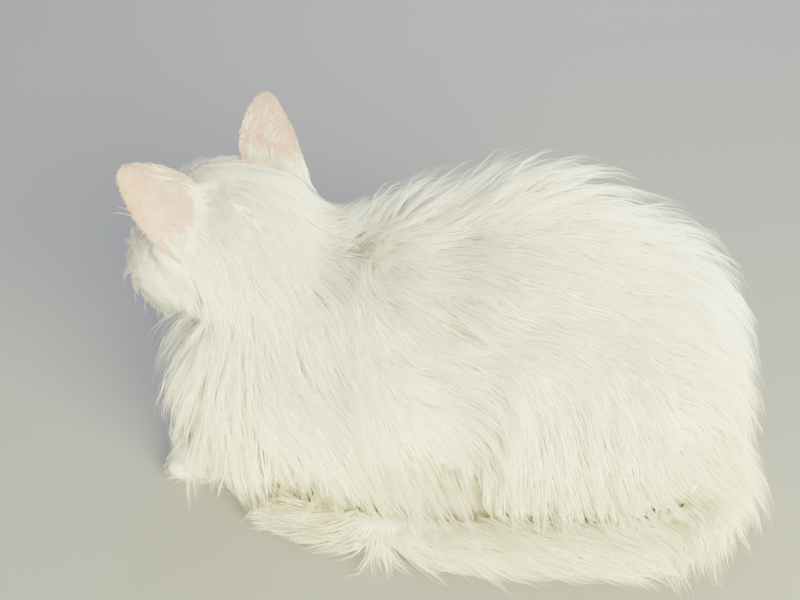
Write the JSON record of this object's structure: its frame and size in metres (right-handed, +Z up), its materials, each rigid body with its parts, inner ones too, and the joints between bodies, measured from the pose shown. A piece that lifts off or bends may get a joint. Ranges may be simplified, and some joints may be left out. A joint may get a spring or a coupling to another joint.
{
  "type": "persian cat",
  "caption": "White long-haired cat lying with its legs folded under it, head turned away and tail laid along its side.",
  "frame": {"origin": "on the floor under the middle of the belly, on the flat that the torso rests on", "axes": "+X from the chest to the rump along the body, +Y to the cat's right side, +Z up from the floor"},
  "size_m": [0.3818, 0.2186, 0.2313],
  "materials": {
    "coat": "long white coat, soft sheen",
    "ear": "thinly haired pink skin",
    "eye": "wet gloss, copper iris",
    "nose": "moist pink skin"
  },
  "bodies": {
    "root": {"head": "coat", "neck": "coat", "torso": "coat", "foreleg_left": "coat", "foreleg_right": "coat", "hindleg_left": "coat", "hindleg_right": "coat", "forepaw_left": "coat", "forepaw_right": "coat", "hindpaw_left": "coat", "hindpaw_right": "coat", "tail_base": "coat", "tail_middle": "coat", "tail_tip": "coat", "ear_left": "ear", "ear_right": "ear", "eye_left": "eye", "eye_right": "eye", "nose": "nose"}
  },
  "joints": []
}
